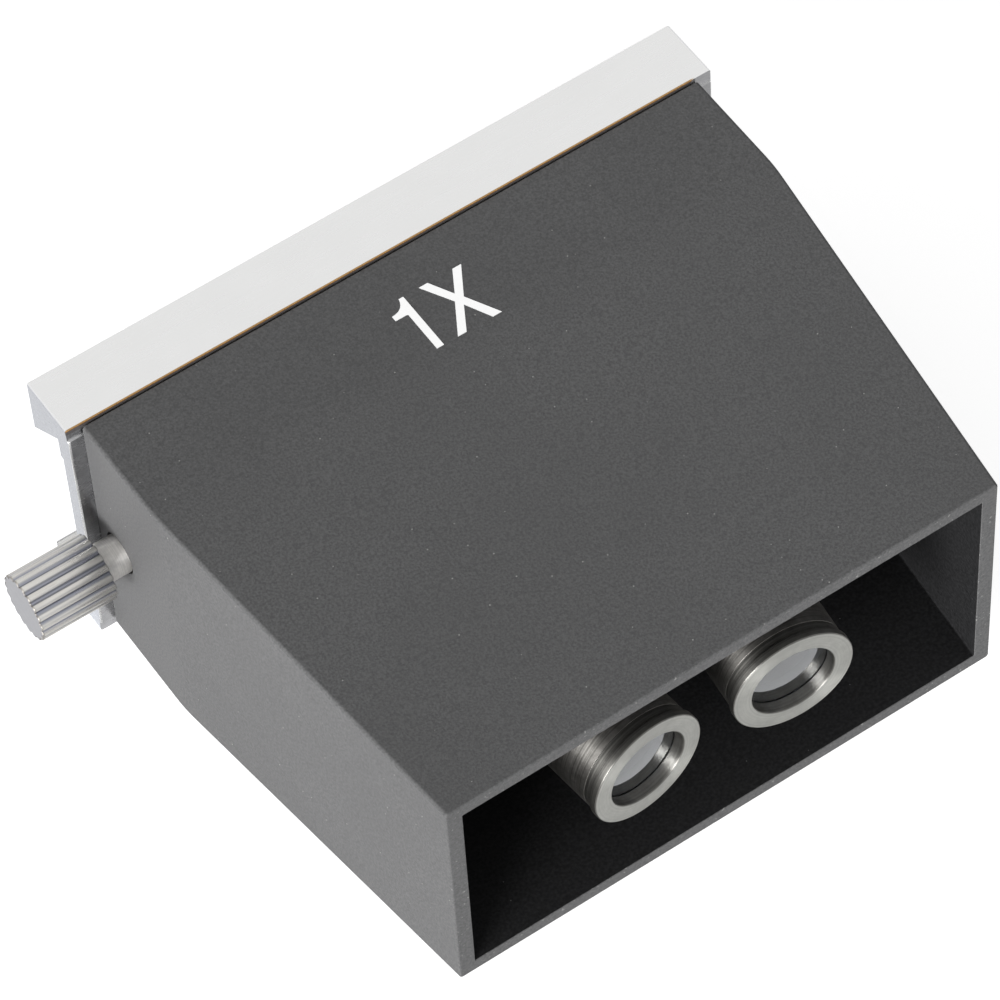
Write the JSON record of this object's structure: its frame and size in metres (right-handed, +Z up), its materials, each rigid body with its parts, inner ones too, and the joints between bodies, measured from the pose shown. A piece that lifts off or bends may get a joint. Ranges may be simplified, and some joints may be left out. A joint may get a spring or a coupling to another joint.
{
  "type": "paired microscope objective unit",
  "caption": "Tapered hood with two converging lens barrels on a female dovetail slide, locked by a knurled clamp screw.",
  "frame": {"origin": "middle of the dovetail groove's length and height, in the plane of its lands", "axes": "+X along the slide away from the clamp screw's head, +Y out of the dovetail groove, +Z up out of the face that carries the power mark; the hood opens towards -Y"},
  "size_m": [0.0706, 0.0523, 0.0286],
  "materials": {
    "hood_paint": "matte, fine grain",
    "bright_steel": "satin machined",
    "black_anodised": "matte black anodised",
    "nickel": "turned nickel plate",
    "glass": "polished, coated",
    "brass": "machined",
    "screw_steel": "blackened"
  },
  "bodies": {
    "unit": {"slide_plate": "bright_steel", "hood": "hood_paint", "hood_screws": "screw_steel", "objective_block": "black_anodised", "block_screws": "screw_steel", "block_dowels": "screw_steel", "barrel_set_screws": "screw_steel", "left_barrel": "nickel", "right_barrel": "nickel", "left_nose_ring": "nickel", "right_nose_ring": "nickel", "left_stop_ring": "black_anodised", "right_stop_ring": "black_anodised", "left_lens": "glass", "right_lens": "glass", "clamp_bracket": "brass", "bracket_screws": "screw_steel", "clamp_bush": "brass"},
    "wedge": {"clamp_wedge": "brass"},
    "screw": {"clamp_screw": "nickel"},
    "shoe": {"lock_shoe": "brass"}
  },
  "joints": [
    {"name": "wedge_slide", "type": "slide", "parent": "unit", "child": "wedge", "axis": [1, 0, 0], "range_m": [0, 0.001]},
    {"name": "screw_turn", "type": "hinge", "parent": "wedge", "child": "screw", "pos_m": [-0.0356, -0.00525, 0], "axis": [1, 0, 0], "range_deg": [0, 720.01]},
    {"name": "shoe_slide", "type": "slide", "parent": "unit", "child": "shoe", "axis": [0, 1, 0], "range_m": [0, 0.0005005]}
  ],
  "couplings": [
    {"joint": "screw_turn", "follows": "wedge_slide", "rad_per_m": 12566},
    {"joint": "shoe_slide", "follows": "wedge_slide", "ratio": 0.5}
  ]
}
